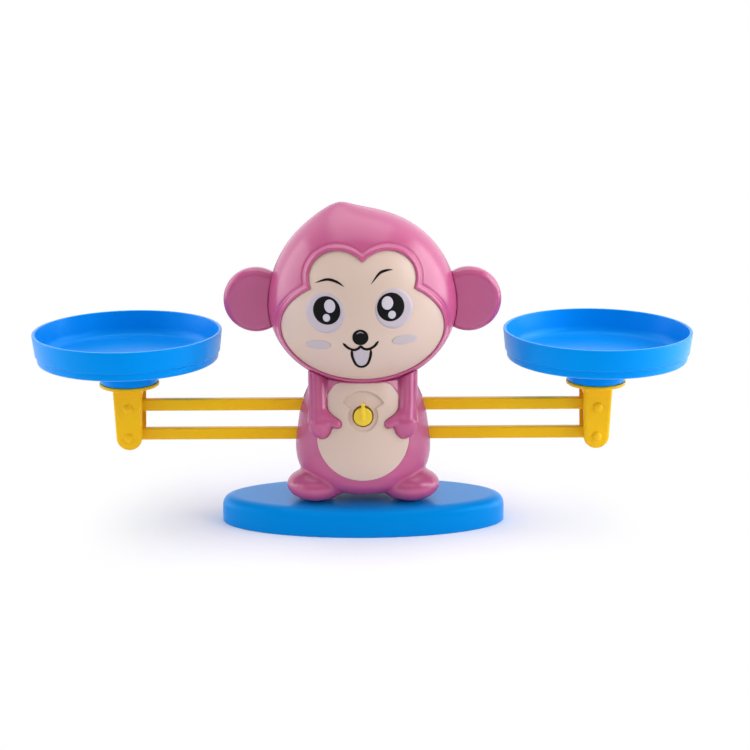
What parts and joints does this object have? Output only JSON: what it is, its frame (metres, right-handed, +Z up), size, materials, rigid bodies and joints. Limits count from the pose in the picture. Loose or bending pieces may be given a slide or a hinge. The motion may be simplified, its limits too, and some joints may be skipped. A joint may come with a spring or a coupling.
{
  "type": "toy balance scale",
  "caption": "Toy balance scale: seated monkey figure on an oval base, parallel beams through its body, upright holders at their ends and a round pan on each; belly knob trims the beams.",
  "frame": {"origin": "middle of the base's underside", "axes": "+Z up, +X to the right pan as the viewer faces the figure, the figure faces -Y"},
  "size_m": [0.33, 0.0944, 0.165],
  "materials": {
    "pink_plastic": "gloss",
    "cream_plastic": "gloss",
    "blue_plastic": "gloss",
    "yellow_plastic": "gloss",
    "steel": "zinc plated"
  },
  "bodies": {
    "stand": {"base": "blue_plastic", "body_front": "pink_plastic", "body_rear": "pink_plastic", "belly_panel": "cream_plastic", "neck_spool": "pink_plastic", "lower_axle": "steel", "head_front": "pink_plastic", "head_rear": "pink_plastic", "face_panel": "cream_plastic", "ear_left": "pink_plastic", "ear_right": "pink_plastic", "body_screw_1": "steel", "body_screw_2": "steel", "body_screw_3": "steel", "body_screw_4": "steel", "head_screw_1": "steel", "head_screw_2": "steel", "head_screw_3": "steel", "base_screw_1": "steel", "base_screw_2": "steel", "base_screw_3": "steel", "base_screw_4": "steel"},
    "upper_beam": {"upper_beam": "yellow_plastic"},
    "lower_beam": {"lower_beam": "yellow_plastic"},
    "trim": {"trim_knob": "yellow_plastic", "trim_weight": "steel"},
    "carrier_left": {"holder_left": "yellow_plastic", "pin_upper_left": "yellow_plastic", "pin_lower_left": "yellow_plastic"},
    "carrier_right": {"holder_right": "yellow_plastic", "pin_upper_right": "yellow_plastic", "pin_lower_right": "yellow_plastic"},
    "pan_left": {"tray_left": "blue_plastic"},
    "pan_right": {"tray_right": "blue_plastic"}
  },
  "joints": [
    {"name": "upper_beam_swing", "type": "hinge", "parent": "stand", "child": "upper_beam", "pos_m": [0, 0, 0.0618], "axis": [0, 1, 0], "range_deg": [-7, 7]},
    {"name": "lower_beam_swing", "type": "hinge", "parent": "stand", "child": "lower_beam", "pos_m": [0, 0, 0.0466], "axis": [0, 1, 0], "range_deg": [-7, 7]},
    {"name": "carrier_left_swing", "type": "hinge", "parent": "upper_beam", "child": "carrier_left", "pos_m": [-0.1178, 0, 0.0618], "axis": [0, 1, 0], "range_deg": [-7, 7]},
    {"name": "carrier_right_swing", "type": "hinge", "parent": "upper_beam", "child": "carrier_right", "pos_m": [0.1178, 0, 0.0618], "axis": [0, 1, 0], "range_deg": [-7, 7]},
    {"name": "trim_turn", "type": "hinge", "parent": "upper_beam", "child": "trim", "pos_m": [0, 0, 0.0618], "axis": [0, 1, 0], "range_deg": [-45, 45]},
    {"name": "tray_left_lift", "type": "slide", "parent": "carrier_left", "child": "pan_left", "axis": [0, 0, 1], "range_m": [0, 0.015]},
    {"name": "tray_right_lift", "type": "slide", "parent": "carrier_right", "child": "pan_right", "axis": [0, 0, 1], "range_m": [0, 0.015]}
  ],
  "couplings": [
    {"joint": "lower_beam_swing", "follows": "upper_beam_swing", "ratio": 1},
    {"joint": "carrier_left_swing", "follows": "upper_beam_swing", "ratio": -1},
    {"joint": "carrier_right_swing", "follows": "upper_beam_swing", "ratio": -1}
  ]
}
